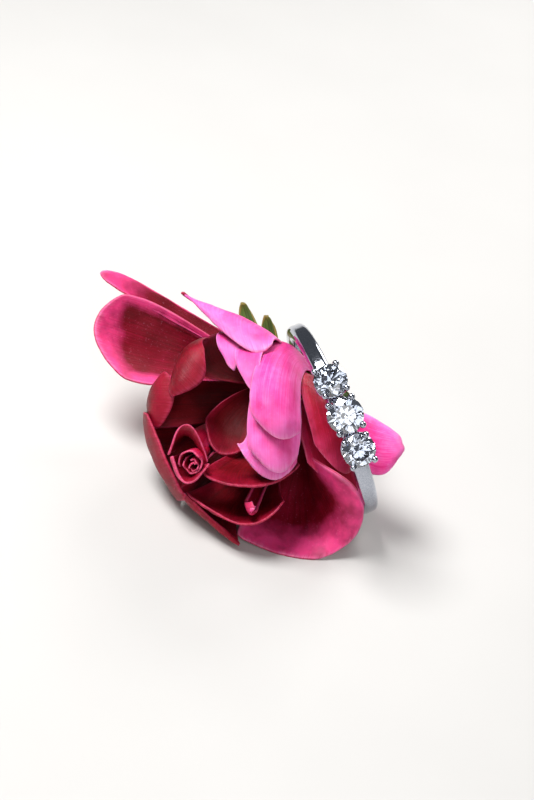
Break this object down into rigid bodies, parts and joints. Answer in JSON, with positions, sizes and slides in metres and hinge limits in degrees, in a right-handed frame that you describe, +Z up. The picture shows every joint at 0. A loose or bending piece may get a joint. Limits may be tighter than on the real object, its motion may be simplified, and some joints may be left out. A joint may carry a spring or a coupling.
{
  "type": "flower ring holder",
  "caption": "Pink bloom lying on its side, whose base carries a slim three-stone engagement ring that slides off over the stem",
  "frame": {"origin": "on the ground, under the middle of the whole object's box", "axes": "+Z up, +X towards the ring's side of the bloom, along the object's longest extent; the bloom's mouth faces -X and -Y"},
  "size_m": [0.0338, 0.027, 0.0207],
  "materials": {
    "petal": "soft pink petal, paler at the rim and deep red inside",
    "green_calyx": "matte green sepal and stem",
    "stamen": "pollen yellow",
    "white_gold": "polished white gold",
    "diamond": "faceted clear brilliant"
  },
  "bodies": {
    "bloom": {"hood_petal_outer": "petal", "hood_petal_middle": "petal", "hood_petal_inner": "petal", "crown_petal": "petal", "crown_curl_left": "petal", "crown_curl_right": "petal", "left_upper_petal": "petal", "left_side_petal": "petal", "bud_petal_upper": "petal", "bud_petal_lower": "petal", "heart_petal_right": "petal", "heart_petal_left": "petal", "left_outer_petal": "petal", "lower_left_petal": "petal", "dividing_petal": "petal", "lower_middle_petal": "petal", "curled_petal": "petal", "lip_petal": "petal", "right_back_petal": "petal", "right_lower_petal": "petal", "threaded_petal": "petal", "guard_petal": "petal", "guard_petal_upper": "petal", "sepal_rear": "green_calyx", "sepal_upper": "green_calyx", "sepal_right": "green_calyx", "sepal_lower": "green_calyx", "sepal_left": "green_calyx", "receptacle": "green_calyx", "pedicel": "green_calyx", "stamens": "stamen"},
    "ring": {"ring_band": "white_gold", "upper_claw_setting": "white_gold", "middle_claw_setting": "white_gold", "lower_claw_setting": "white_gold", "upper_diamond": "diamond", "middle_diamond": "diamond", "lower_diamond": "diamond"}
  },
  "joints": [
    {"name": "ring_slide", "type": "slide", "parent": "bloom", "child": "ring", "axis": [0.8002, 0.4255, 0.4226], "range_m": [0, 0.025]}
  ]
}
